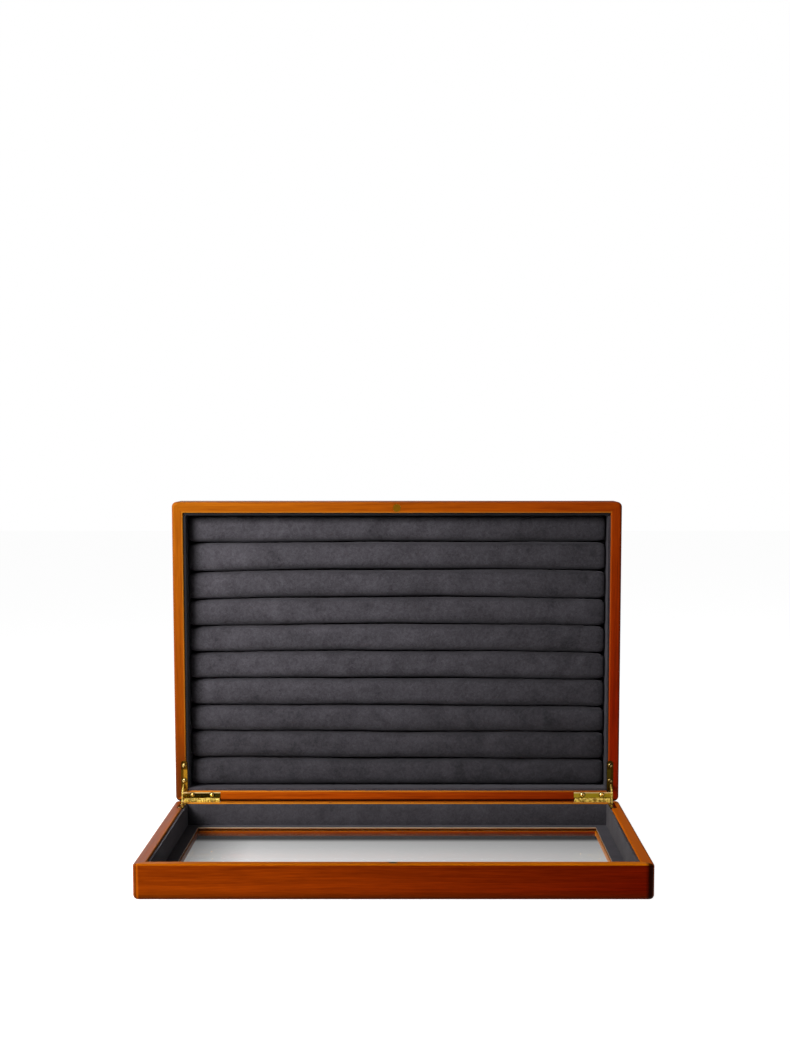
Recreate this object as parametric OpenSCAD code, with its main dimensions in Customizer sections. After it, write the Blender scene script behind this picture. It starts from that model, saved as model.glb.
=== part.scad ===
// Ring display box.
//
// A shallow glazed lid and a deeper tray of padded ring rolls, joined at their back corners by two
// L-shaped stay hinges. It is modelled open at a right angle: the lid lies on its outer face with
// its rim up, and the tray stands on edge at the lid's back with its rim facing forwards.
//
// Each half is built in one shared "half" frame and then placed:
//   x runs along the hinge, 0 at the middle of the case
//   y runs from the hinge side (0) to the front of the case
//   z runs from the outer face (0) to the rim
// The finished part has +Z up, +Y to the back, and its origin at the bottom centre of its box.

/* [Case] */
// Outer width of the case, along the hinge
case_w = 350; // [280:1:420]
// Outer depth of the case, from the hinge side to the front
case_d = 236; // [180:1:300]
// Height of the lid, from its outer face to its rim
lid_h = 24.6; // [20:0.1:34]
// Height of the tray, from the bottom of its rails to its rim
tray_h = 36; // [32:0.5:60]
// Thickness of the wooden rails
wall = 8.6; // [7.6:0.1:12]
// Radius of the case's upright corners
corner_r = 4; // [3:0.5:6]
// Radius along the edges of the outer faces
edge_r = 3; // [1:0.1:3]
// Radius along the outer edges of the rims
rim_outer_r = 2; // [1.6:0.1:3]
// Radius along the inner edges of the rims
rim_r = 1; // [0.4:0.1:1.6]
// Gap between the two rims when the box is shut
rim_gap = 0.3; // [0.2:0.05:0.6]
// Width of the rabbet that holds the lid's panel and the tray's base
rabbet_w = 3; // [2:0.1:4]

/* [Window] */
// Thickness of the lid's window panel
panel_t = 5.8; // [5:0.1:7]
// Thickness of the glass
glass_t = 2; // [1.5:0.1:3]
// Distance from the case's outer side to the edge of the window
window_margin = 19.5; // [17:0.5:40]
// Width of the lip that the glass rests on
lip_w = 5; // [3:0.5:5.5]
// Clearance round the edge of the glass
glass_play = 0.3; // [0.1:0.1:0.6]

/* [Lining] */
// Thickness of the velvet-covered boards on the walls
lining_t = 2; // [1.2:0.1:3]
// Thickness of the velvet-covered boards on the panel and the base
board_t = 1.2; // [0.8:0.1:2]
// Drop from the rim to the top edge of the wall boards
lining_drop = 0.8; // [0.3:0.1:1.5]

/* [Tray base] */
// Thickness of the tray's wooden base
base_t = 4; // [3:0.5:6]
// Depth of the base's underside above the bottom of the rails
base_recess = 1; // [0.5:0.1:2]
// Thickness of the felt under the base
felt_t = 1.5; // [1:0.1:3]

/* [Ring rolls] */
// Number of ring rolls
roll_count = 10; // [6:1:10]
// Depth from the tray's rim to the top of the rolls
roll_depth = 11; // [8:0.5:13]
// Radius along the upper edges of a roll
roll_r = 4.5; // [3:0.5:6]
// Gap between one roll and the next, and between the rolls and the lining
roll_gap = 0.3; // [0.2:0.1:1]
// Thickness of a roll's velvet cover
cover_t = 0.8; // [0.5:0.1:1.5]

/* [Magnets] */
// Diameter of the closing magnets
magnet_d = 6; // [4:0.5:6]
// Thickness of the closing magnets
magnet_t = 2.5; // [1.5:0.5:4]

/* [Hinges] */
// Thickness of a hinge leaf
leaf_t = 1.2; // [1:0.1:1.6]
// Length of a leaf's side leg, from the back of the case
side_leg_len = 32.6; // [28:0.2:40]
// Length of a leaf's back leg
back_leg_len = 30.8; // [26:0.2:40]
// Width of a leaf's side leg
side_leg_w = 4.8; // [4.2:0.1:5]
// Distance from the back of the case to the inner edge of the back leg
back_leg_w = 7.5; // [6.8:0.1:7.6]
// Depth of the hinge's axis inside the back of the case
axis_inset = 0.8; // [0.6:0.05:1]
// Radius of the hinge's knuckles
knuckle_r = 2.1; // [1.8:0.1:2.4]
// Radius of the hinge's pin
pin_r = 0.8; // [0.6:0.05:1]

/* [Stay arms] */
// Radius of the stay arm's arc, about the hinge's axis
arm_r = 11.8; // [11.5:0.1:13]
// Width of the stay arm's bar
arm_w = 2.6; // [2:0.1:3]
// Thickness of the stay arm's bar
arm_t = 1; // [0.8:0.1:1.2]
// Radius of the stop at each end of the stay arm
stop_r = 1.2; // [1:0.1:1.4]

/* [Hidden] */
$fn = 64;
eps = 0.01;
open_angle = 90;

// Running and assembly clearances
pin_play = 0.05;
knuckle_play = 0.4;
knuckle_gap = 0.3;
slot_play = 0.2;
pocket_play = 0.35;
stop_play = 0.1;
screw_play = 0.05;
magnet_play = 0.05;
board_play = 0.2;
foam_play = 0.1;
notch_play = 0.15;
leaf_play = 0.1;
plate_play = 0.3;
screw_gap = 0.85;

// The case
half_w = case_w / 2;
inner_x = half_w - wall;
inner_d = case_d - 2 * wall;
panel_x = inner_x + rabbet_w;
panel_d = inner_d + 2 * rabbet_w;
panel_play = 0.1;

// The window, from the outside in: lip, glass, velvet-covered board
lip_t = panel_t - glass_t;
window_x = half_w - window_margin;
window_d = case_d - 2 * window_margin;

// The linings
lined_x = inner_x - lining_t;
lined_d = inner_d - 2 * lining_t;
lid_floor = panel_t + board_t;
base_top = base_recess + base_t;
tray_floor = base_top + board_t;

// The rolls
roll_pitch = (lined_d - roll_gap) / roll_count;
roll_w = roll_pitch - roll_gap;
roll_len = 2 * (lined_x - roll_gap);
roll_h = tray_h - roll_depth - tray_floor;

// The hinge, in the half frame of the case's right-hand corner
leg_centre = 1.6;
leg_x = inner_x + leg_centre;
leg_out_x = leg_x + side_leg_w / 2;
leg_in_x = leg_x - side_leg_w / 2;
leaf_end_x = leg_out_x - back_leg_len;
barrel_end = 2;
barrel_x = leaf_end_x + 0.6;
barrel_len = leg_out_x - barrel_end - barrel_x;
knuckle_count = 5;
knuckle_len = barrel_len / knuckle_count;
plate_start = axis_inset + knuckle_r + plate_play;
tab_overlap = 0.3;
pin_end = 0.3;

// The stay arm: its arc runs on past each leaf until its stop meets the leaf's underside
arm_x = leg_x + 0.4;
stop_len = 2 * arm_t + 0.6;
stop_depth = rim_gap / 2 + leaf_t + stop_r + stop_play;
arm_over = asin(stop_depth / arm_r);
shut_angle = open_angle / 2 + arm_over;
pocket_half = max(arm_w / 2, stop_r) + pocket_play;
pocket_start = axis_inset + arm_r * cos(shut_angle) - stop_r - pocket_play;

// Screws: flat heads, in the leaf's two legs
screw_head_r = 1.7;
screw_head_h = 0.8;
screw_shank_r = 0.75;
screw_len = 7;
screw_tip = 1.5;
recess_len = 1.9;
recess_w = 0.4;
recess_depth = 0.45;
back_screw_end = 6.8;
back_screw_side = 4;
side_screw_end = 3.6;
back_screw_y = (plate_start + back_leg_w) / 2;
side_screw_y = axis_inset + arm_r + pocket_half + screw_gap + screw_head_r;
screw_spots = [
    [leaf_end_x + back_screw_end, back_screw_y],
    [leg_in_x - back_screw_side, back_screw_y],
    [leg_x, side_screw_y],
    [leg_x, side_leg_len - side_screw_end]
];

// Placing: the box's middle is on x = 0 and y = 0, and the lid's outer face is on z = 0
felt_proud = felt_t - base_recess;
total_y = case_d - axis_inset + rim_gap / 2 + tray_h + felt_proud;
lid_back_y = case_d - total_y / 2;
axis_y = lid_back_y - axis_inset;
axis_z = lid_h + rim_gap / 2;
tray_base_y = axis_y + rim_gap / 2 + tray_h;
tray_foot_z = axis_z - axis_inset;

// Colours
wood_colour = [0.66, 0.28, 0.03];
velvet_colour = [0.22, 0.21, 0.23];
foam_colour = [0.85, 0.82, 0.7];
brass_colour = [0.85, 0.65, 0.2];
magnet_colour = [0.55, 0.45, 0.15];
glass_colour = [0.8, 0.88, 0.9, 0.35];
felt_colour = [0.15, 0.15, 0.16];

// ---------------------------------------------------------------- placing the two halves

module place_lid() {
    translate([0, lid_back_y, 0]) mirror([0, 1, 0]) children();
}

module place_tray() {
    translate([0, tray_base_y, tray_foot_z]) rotate([90, 0, 0]) children();
}

// Children drawn at the right-hand corner, or mirrored to the left-hand one
module at_side(side) {
    if (side == "right") children();
    else mirror([1, 0, 0]) children();
}

module at_both_sides() {
    at_side("right") children();
    at_side("left") children();
}

// A cylinder along x, from the given x
module x_cylinder(r, from_x, len) {
    translate([from_x, 0, 0]) rotate([0, 90, 0]) cylinder(r = r, h = len);
}

// ---------------------------------------------------------------- the wooden case

// What a round edge takes off a square corner at the origin
module round_off(r) {
    difference() {
        translate([-eps, -eps]) square(r + eps);
        translate([r, r]) circle(r);
    }
}

// Cross-section of the case: round along the outer face at the bottom and along the rim
module case_section(width, height) {
    difference() {
        square([width, height]);
        round_off(edge_r);
        translate([width, 0]) mirror([1, 0]) round_off(edge_r);
        translate([0, height]) mirror([0, 1]) round_off(rim_outer_r);
        translate([width, height]) rotate(180) round_off(rim_outer_r);
    }
}

// A case corner, turned from the same section about the corner's own centre
module corner_post(height) {
    rotate_extrude() intersection() {
        translate([-corner_r, 0]) case_section(2 * corner_r, height);
        square([corner_r, height]);
    }
}

// The case as one solid block with all its rounding
module case_block(height) {
    translate([-half_w + corner_r, 0, 0]) rotate([90, 0, 90])
        linear_extrude(case_w - 2 * corner_r) case_section(case_d, height);
    translate([-half_w, case_d - corner_r, 0]) rotate([90, 0, 0])
        linear_extrude(case_d - 2 * corner_r) case_section(case_w, height);
    for (x = [-half_w + corner_r, half_w - corner_r], y = [corner_r, case_d - corner_r])
        translate([x, y, 0]) corner_post(height);
}

// The four walls, with a rabbet for the panel at the outer face
module case_walls(height, rabbet_h) {
    difference() {
        case_block(height);
        translate([-inner_x, wall, -1]) cube([2 * inner_x, inner_d, height + 2]);
        translate([-panel_x, wall - rabbet_w, -1]) cube([2 * panel_x, panel_d, rabbet_h + 1]);
    }
}

// Plan of one rail, between its two mitres
function rail_plan(which) =
    which == "back" ? [[-half_w, 0], [half_w, 0], [inner_x, wall], [-inner_x, wall]] :
    which == "front" ? [[-half_w, case_d], [-inner_x, case_d - wall],
                        [inner_x, case_d - wall], [half_w, case_d]] :
    which == "left" ? [[-half_w, 0], [-inner_x, wall],
                       [-inner_x, case_d - wall], [-half_w, case_d]] :
    [[half_w, 0], [half_w, case_d], [inner_x, case_d - wall], [inner_x, wall]];

module rail(which, height, rabbet_h) {
    color(wood_colour) difference() {
        intersection() {
            case_walls(height, rabbet_h);
            linear_extrude(height) polygon(rail_plan(which));
        }
        rim_easing(which, height);
        if (which == "front") magnet_seat(height);
        if (which != "front") hinge_cuts(height);
    }
}

// What the easing of its inner rim edge takes off a rail. The mitres trim it.
module rim_easing(which, height) {
    if (which == "back") translate([-half_w, wall, height]) rotate([90, 0, 90])
        linear_extrude(case_w) rotate(180) round_off(rim_r);
    if (which == "front") translate([-half_w, case_d - wall, height]) rotate([90, 0, 90])
        linear_extrude(case_w) mirror([0, 1]) round_off(rim_r);
    if (which == "left" || which == "right") at_side(which)
        translate([inner_x, case_d, height]) rotate([90, 0, 0])
            linear_extrude(case_d) mirror([0, 1]) round_off(rim_r);
}

module lid_rail(which) place_lid() rail(which, lid_h, panel_t);

module tray_rail(which) place_tray() rail(which, tray_h, base_top);

// ---------------------------------------------------------------- the lid's window

// A board between the walls, from one height up, smaller than the walls by a play all round
module board(reach_x, reach_d, thickness, play) {
    translate([-reach_x + play, case_d / 2 - reach_d / 2 + play, 0])
        cube([2 * (reach_x - play), reach_d - 2 * play, thickness]);
}

module lid_window_panel() {
    color(wood_colour) place_lid() difference() {
        board(panel_x, panel_d, panel_t, panel_play);
        translate([0, 0, -1]) board(window_x, window_d, panel_t + 2, 0);
        translate([0, 0, lip_t]) board(window_x + lip_w, window_d + 2 * lip_w, glass_t + 1, 0);
    }
}

module lid_glass() {
    color(glass_colour) place_lid() translate([0, 0, lip_t])
        board(window_x + lip_w, window_d + 2 * lip_w, glass_t, glass_play);
}

// The velvet-covered board that frames the window and keeps the glass in
module window_lining() {
    color(velvet_colour) place_lid() translate([0, 0, panel_t]) difference() {
        board(inner_x, inner_d, board_t, board_play);
        translate([0, 0, -1]) board(window_x, window_d, board_t + 2, 0);
    }
}

// ---------------------------------------------------------------- the wall linings

// A velvet-covered board on one wall. The side boards run between the front and back boards.
module wall_lining(which, height, floor_z) {
    lining_h = height - lining_drop - floor_z;
    side_len = lined_d - 2 * board_play;
    long_len = 2 * (inner_x - board_play);
    color(velvet_colour) difference() {
        translate([0, 0, floor_z]) {
            if (which == "back")
                translate([-long_len / 2, wall, 0]) cube([long_len, lining_t, lining_h]);
            if (which == "front")
                translate([-long_len / 2, case_d - wall - lining_t, 0])
                    cube([long_len, lining_t, lining_h]);
            if (which == "left" || which == "right") at_side(which)
                translate([lined_x, wall + lining_t + board_play, 0])
                    cube([lining_t, side_len, lining_h]);
        }
        at_both_sides() leaf_notch(height);
    }
}

// Room in a lining board for the hinge leaf that lies over its top edge
module leaf_notch(height) {
    translate([0, 0, height - leaf_t - notch_play])
        linear_extrude(leaf_t + 1) leaf_outline(notch_play);
}

module lid_lining(which) place_lid() wall_lining(which, lid_h, lid_floor);

module tray_lining(which) place_tray() wall_lining(which, tray_h, tray_floor);

// ---------------------------------------------------------------- the tray's base and rolls

module tray_base() {
    color(wood_colour) place_tray() translate([0, 0, base_recess])
        board(panel_x, panel_d, base_t, panel_play);
}

module base_felt() {
    color(felt_colour) place_tray() translate([0, 0, -felt_proud])
        board(panel_x, panel_d, felt_t, glass_play);
}

module base_lining() {
    color(velvet_colour) place_tray() translate([0, 0, base_top])
        board(inner_x, inner_d, board_t, board_play);
}

// Section of a roll: upright sides and round upper edges
module roll_section(width, height, radius) {
    square([width, height - radius]);
    translate([radius, 0]) square([width - 2 * radius, height]);
    for (x = [radius, width - radius])
        translate([x, height - radius]) circle(radius);
}

// A bar that is round along all four of its upper edges, standing on z = 0
module roll_bar(len, width, height, radius) {
    intersection() {
        translate([-len / 2, 0, 0]) rotate([90, 0, 90])
            linear_extrude(len) roll_section(width, height, radius);
        translate([-len / 2, width, 0]) rotate([90, 0, 0])
            linear_extrude(width) roll_section(len, height, radius);
    }
}

// Where roll number i stands. Roll 1 is at the front of the case.
module at_roll(i) {
    place_tray() translate([
        0,
        wall + lining_t + roll_gap + (roll_count - i) * roll_pitch,
        tray_floor
    ]) children();
}

// The velvet cover, wrapped over the foam and open underneath
module ring_roll(i) {
    color(velvet_colour) at_roll(i) difference() {
        roll_bar(roll_len, roll_w, roll_h, roll_r);
        translate([0, cover_t, -cover_t]) roll_bar(
            roll_len - 2 * cover_t, roll_w - 2 * cover_t, roll_h, roll_r - cover_t
        );
    }
}

module roll_foam(i) {
    inset = cover_t + foam_play;
    color(foam_colour) at_roll(i) translate([0, inset, 0])
        roll_bar(roll_len - 2 * inset, roll_w - 2 * inset, roll_h - inset, roll_r - inset);
}

// ---------------------------------------------------------------- the magnets

// A magnet in the middle of the front rail's flat, flush with it
module magnet_shape(height, play) {
    translate([0, case_d - (rim_outer_r + wall - rim_r) / 2, height - magnet_t])
        cylinder(d = magnet_d + 2 * play, h = magnet_t + (play > 0 ? 1 : 0));
}

module magnet_seat(height) magnet_shape(height, magnet_play);

module lid_magnet() {
    color(magnet_colour) place_lid() magnet_shape(lid_h, 0);
}

module tray_magnet() {
    color(magnet_colour) place_tray() magnet_shape(tray_h, 0);
}

// ---------------------------------------------------------------- the hinges

// Plan of a leaf: a back leg along the hinge and a side leg with a round end.
// A play makes it larger all round, for the cuts that take the leaf.
module leaf_outline(play) {
    round_y = side_leg_len - side_leg_w / 2;
    translate([leaf_end_x - play, plate_start - play])
        square([back_leg_len + 2 * play, back_leg_w - plate_start + 2 * play]);
    translate([leg_in_x - play, plate_start - play])
        square([side_leg_w + 2 * play, round_y - plate_start + play]);
    translate([leg_x, round_y]) circle(d = side_leg_w + 2 * play);
}

// Flat-headed screw, its head's face on z = 0 and its point downwards
module screw_shape(play) {
    translate([0, 0, -screw_head_h])
        cylinder(r1 = screw_shank_r + play, r2 = screw_head_r + play, h = screw_head_h);
    translate([0, 0, -screw_len + screw_tip])
        cylinder(r = screw_shank_r + play, h = screw_len - screw_tip - screw_head_h + eps);
    translate([0, 0, -screw_len])
        cylinder(r1 = 0.1 + play, r2 = screw_shank_r + play, h = screw_tip + eps);
}

module screw() {
    difference() {
        screw_shape(0);
        for (turn = [0, 90]) rotate(turn)
            translate([-recess_len / 2, -recess_w / 2, -recess_depth])
                cube([recess_len, recess_w, 1]);
    }
}

module at_screws(height) {
    for (spot = screw_spots) translate([spot[0], spot[1], height]) children();
}

// What a half of the case gives up for its hinges: the leaf's mortise, a groove for the knuckles,
// a pocket for the stay arm and the screw holes
module hinge_cuts(height) {
    at_both_sides() {
        translate([0, 0, height - leaf_t]) linear_extrude(leaf_t + 1) {
            leaf_outline(leaf_play);
            translate([leaf_end_x - leaf_play, -1])
                square([back_leg_len + 2 * leaf_play, plate_start + 1]);
        }
        translate([0, axis_inset, height + rim_gap / 2])
            x_cylinder(knuckle_r + knuckle_play, leaf_end_x, barrel_len + 1.2);
        arm_pocket(height);
        at_screws(height) screw_shape(screw_play);
    }
}

// The pocket is open to the case's inner face, where the lining covers it
module arm_pocket(height) {
    pocket_x = inner_x - eps;
    pocket_len = arm_x + stop_len / 2 + pocket_play - pocket_x;
    intersection() {
        translate([0, axis_inset, height + rim_gap / 2]) difference() {
            x_cylinder(arm_r + pocket_half, pocket_x, pocket_len);
            x_cylinder(arm_r - pocket_half, pocket_x - 1, pocket_len + 2);
        }
        translate([pocket_x - 1, pocket_start, height - arm_r - 2 * pocket_half])
            cube([pocket_len + 2, arm_r + 2 * pocket_half, arm_r + 2 * pocket_half]);
    }
}

// One leaf, with every second knuckle of the barrel, starting at the given one
module hinge_leaf(height, first) {
    slot_len = arm_w + 2 * slot_play;
    slot_w = arm_t + 2 * slot_play;
    difference() {
        union() {
            translate([0, 0, height - leaf_t]) linear_extrude(leaf_t) leaf_outline(0);
            for (i = [first : 2 : knuckle_count - 1]) {
                from_x = barrel_x + i * knuckle_len + knuckle_gap / 2;
                translate([0, axis_inset, height + rim_gap / 2])
                    x_cylinder(knuckle_r, from_x, knuckle_len - knuckle_gap);
                translate([from_x, axis_inset, height - leaf_t]) cube([
                    knuckle_len - knuckle_gap,
                    plate_start - axis_inset + tab_overlap,
                    leaf_t
                ]);
            }
        }
        translate([0, axis_inset, height + rim_gap / 2])
            x_cylinder(pin_r + pin_play, barrel_x - 1, barrel_len + 2);
        translate([arm_x - slot_w / 2, axis_inset + arm_r - slot_len / 2, height - 2 * leaf_t])
            cube([slot_w, slot_len, 4 * leaf_t]);
        at_screws(height) screw_shape(screw_play);
    }
}

module lid_hinge_leaf(side) {
    color(brass_colour) place_lid() at_side(side) hinge_leaf(lid_h, 0);
}

module tray_hinge_leaf(side) {
    color(brass_colour) place_tray() at_side(side) hinge_leaf(tray_h, 1);
}

module hinge_pin(side) {
    color(brass_colour) translate([0, axis_y, axis_z]) at_side(side)
        x_cylinder(pin_r, barrel_x - pin_end, barrel_len + 2 * pin_end);
}

module lid_hinge_screws() {
    color(brass_colour) place_lid() at_both_sides() at_screws(lid_h) screw();
}

module tray_hinge_screws() {
    color(brass_colour) place_tray() at_both_sides() at_screws(tray_h) screw();
}

// A curved bar about the hinge's axis. It slides through a slot in each leaf, half of the box's
// travel in each, and a stop at each end catches the leaf's underside when the box is open.
module stay_arm(side) {
    color(brass_colour) translate([0, axis_y, axis_z]) at_side(side)
        translate([arm_x, 0, 0]) rotate([90, 0, -90]) {
            rotate(-arm_over) rotate_extrude(angle = open_angle + 2 * arm_over)
                translate([arm_r - arm_w / 2, -arm_t / 2]) square([arm_w, arm_t]);
            for (turn = [-arm_over, open_angle + arm_over]) rotate(turn)
                translate([arm_r, 0, -stop_len / 2]) cylinder(r = stop_r, h = stop_len);
        }
}

// ---------------------------------------------------------------- the nodes

for (which = ["front", "back", "left", "right"]) {
    lid_rail(which);
    lid_lining(which);
    tray_rail(which);
    tray_lining(which);
}
for (side = ["left", "right"]) {
    lid_hinge_leaf(side);
    tray_hinge_leaf(side);
    hinge_pin(side);
    stay_arm(side);
}
for (i = [1 : roll_count]) {
    ring_roll(i);
    roll_foam(i);
}
lid_window_panel();
lid_glass();
window_lining();
lid_magnet();
lid_hinge_screws();
tray_base();
base_felt();
base_lining();
tray_magnet();
tray_hinge_screws();
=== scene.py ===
"""Ring display box: finishes, padded ring rolls, wrapped lining boards, light and camera.

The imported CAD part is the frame. Its wood, glass and brass nodes stay as they are and get their
finishes here. The ten ring rolls are padded pieces, inflated as cloth, and the wall linings are
boards with soft wrapped edges. All lengths are in metres.
"""
import math

import bmesh
import bpy
import numpy as np
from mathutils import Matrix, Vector

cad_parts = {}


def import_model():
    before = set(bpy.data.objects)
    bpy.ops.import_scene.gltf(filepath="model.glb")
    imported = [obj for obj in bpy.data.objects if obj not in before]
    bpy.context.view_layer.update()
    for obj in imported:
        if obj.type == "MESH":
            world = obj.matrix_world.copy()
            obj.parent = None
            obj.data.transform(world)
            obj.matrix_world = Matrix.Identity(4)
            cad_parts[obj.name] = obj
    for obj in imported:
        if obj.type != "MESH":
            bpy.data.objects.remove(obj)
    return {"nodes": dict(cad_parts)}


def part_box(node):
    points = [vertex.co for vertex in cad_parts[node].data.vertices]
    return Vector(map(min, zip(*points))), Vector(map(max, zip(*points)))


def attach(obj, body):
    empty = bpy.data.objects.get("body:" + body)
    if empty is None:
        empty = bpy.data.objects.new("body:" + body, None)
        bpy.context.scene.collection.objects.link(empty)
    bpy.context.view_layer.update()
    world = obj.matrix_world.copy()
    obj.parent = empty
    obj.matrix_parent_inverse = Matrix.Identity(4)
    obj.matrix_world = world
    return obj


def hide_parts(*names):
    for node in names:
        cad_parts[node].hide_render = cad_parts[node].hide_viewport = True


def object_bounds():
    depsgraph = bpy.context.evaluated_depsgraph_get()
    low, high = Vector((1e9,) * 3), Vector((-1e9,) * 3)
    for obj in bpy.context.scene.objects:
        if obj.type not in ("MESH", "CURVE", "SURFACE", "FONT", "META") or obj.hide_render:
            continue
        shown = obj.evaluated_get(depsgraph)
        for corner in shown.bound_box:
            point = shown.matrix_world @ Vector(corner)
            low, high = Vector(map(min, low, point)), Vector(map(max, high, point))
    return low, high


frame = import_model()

MM = 0.001
CAD_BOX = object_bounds()
SCENE = bpy.context.scene

# ------------------------------------------------------------------ the camera's frame

FRAME_W, FRAME_H = 790, 1051          # in pixels
SENSOR = 36.0                         # on the long side, in millimetres
FOCAL_PX = 1917.8                     # focal length, in pixels of the frame
AXIS_PX = (417.59, 676.18)            # where the camera's axis meets the frame
CAMERA_X = 16.12 * MM
CAMERA_AHEAD = 1258.86 * MM           # from the lid's front face to the camera
CAMERA_Z = 297.67 * MM
CAMERA_PITCH = 0.1159                 # downwards, in radians

# ------------------------------------------------------------------ sizes of the soft pieces

ROLLS = 10
ROLL_STATIONS = 181                   # along a roll
ROLL_SPOKES = 56                      # round a roll's section
SECTION_POWER = 5.0                   # 2 is an ellipse, higher is closer to a box
END_POWER = 150.0                     # how late a roll's end starts to round off
ROLL_SHRINK = 0.5 * MM                # how much smaller a roll starts before it is inflated
SEAM_GAP = 0.1 * MM                   # half of the gap between two rolls
VOXEL = 2.4 * MM
PRESSURE = 4.0
SWELL_CAP = 0.8 * MM                  # the most that inflating may move a point
SIM_FRAMES = 20
EDGE_WRAP = 0.95 * MM                 # radius of the cloth over a board's edge
RIM_SLANT = 0.6 * MM                  # how far a board's rim falls away towards its rail
PUCKER = 0.12 * MM                    # the depth of a wave in a roll's face
FACE_BACK = 0.1 * MM                  # how far a roll's face is drawn back
TOUCHING = 0.05 * MM                  # two places nearer than this are one

# The seams between the rolls, from the top one down, in millimetres: how high each lies in the
# middle above its even place, how much it climbs towards the right end, and how far both ends drop.
SEAM_MIDDLE = (0.9, 0.2, 0.0, 0.0, 0.2, 0.0, -0.5, 0.0, -0.1)
SEAM_CLIMB = (0.5, 0.7, 0.3, 0.2, -0.2, -0.5, -0.8, -0.5, -0.9)
SEAM_DROP = (1.1, 1.2, 2.1, 1.9, 1.5, 1.1, 0.5, -0.4, 0.0)
SEAM_RIPPLE = 0.22                    # small waves on every seam, in millimetres


# ------------------------------------------------------------------ node trees

def add(tree, kind, **settings):
    """A new shader node with its settings."""
    made = tree.nodes.new(kind)
    for key, value in settings.items():
        setattr(made, key, value)
    return made


def feed(tree, socket, value):
    """Links an output socket to an input, or sets the input to a plain value."""
    if isinstance(value, bpy.types.NodeSocket):
        tree.links.new(value, socket)
    else:
        socket.default_value = value


def calc(tree, operation, a, b=0.0, clamp=False):
    """Output of a Math node."""
    made = add(tree, "ShaderNodeMath", operation=operation, use_clamp=clamp)
    feed(tree, made.inputs[0], a)
    feed(tree, made.inputs[1], b)
    return made.outputs[0]


def product(tree, *values):
    """The product of several values."""
    total = values[0]
    for value in values[1:]:
        total = calc(tree, "MULTIPLY", total, value)
    return total


def weighted(tree, *terms):
    """The sum of values, each times its weight."""
    parts = [calc(tree, "MULTIPLY", value, weight) for value, weight in terms]
    total = parts.pop()
    while parts:
        total = calc(tree, "ADD", parts.pop(), total)
    return total


def opposite(tree, mask):
    """One less a mask."""
    return calc(tree, "SUBTRACT", 1.0, mask)


def distance(tree, a, b):
    """The root of the sum of two squares."""
    square = calc(tree, "ADD", calc(tree, "MULTIPLY", a, a), calc(tree, "MULTIPLY", b, b))
    return calc(tree, "SQRT", square)


def scaled(tree, colour, level):
    """A colour times a level."""
    made = add(tree, "ShaderNodeVectorMath", operation="SCALE")
    feed(tree, made.inputs[0], colour)
    feed(tree, made.inputs["Scale"], level)
    return made.outputs[0]


def blend_colour(tree, factor, a, b):
    """Output of a colour Mix node."""
    made = add(tree, "ShaderNodeMix", data_type="RGBA")
    feed(tree, made.inputs["Factor"], factor)
    feed(tree, made.inputs[6], a)
    feed(tree, made.inputs[7], b)
    return made.outputs[2]


def spread(tree, value, low, high, to_low=0.0, to_high=1.0):
    """Maps a value from one range to another and clamps it."""
    made = add(tree, "ShaderNodeMapRange", clamp=True)
    for name, number in (("From Min", low), ("From Max", high), ("To Min", to_low),
                         ("To Max", to_high)):
        made.inputs[name].default_value = number
    feed(tree, made.inputs["Value"], value)
    return made.outputs["Result"]


def mapped(tree, vector, scale=(1, 1, 1), location=(0, 0, 0), rotation=(0, 0, 0)):
    """A vector scaled, turned and moved by a Mapping node."""
    made = add(tree, "ShaderNodeMapping")
    feed(tree, made.inputs["Vector"], vector)
    made.inputs["Scale"].default_value = scale
    made.inputs["Location"].default_value = location
    made.inputs["Rotation"].default_value = rotation
    return made.outputs["Vector"]


def noise(tree, vector, scale, detail=3.0, roughness=0.5, distortion=0.0):
    """Noise with a number of cells per metre."""
    made = add(tree, "ShaderNodeTexNoise")
    feed(tree, made.inputs["Vector"], vector)
    for name, number in (("Scale", scale), ("Detail", detail), ("Roughness", roughness),
                         ("Distortion", distortion)):
        made.inputs[name].default_value = number
    return made.outputs["Fac"]


def group(name, inputs, outputs):
    """An empty shader node group with named sockets: its tree, its inputs and its outputs."""
    tree = bpy.data.node_groups.new(name, "ShaderNodeTree")
    kinds = {"v": "NodeSocketVector", "c": "NodeSocketColor", "f": "NodeSocketFloat"}
    for label, kind in inputs:
        tree.interface.new_socket(label, in_out="INPUT", socket_type=kinds[kind])
    for label, kind in outputs:
        tree.interface.new_socket(label, in_out="OUTPUT", socket_type=kinds[kind])
    return tree, add(tree, "NodeGroupInput").outputs, add(tree, "NodeGroupOutput").inputs


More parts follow.
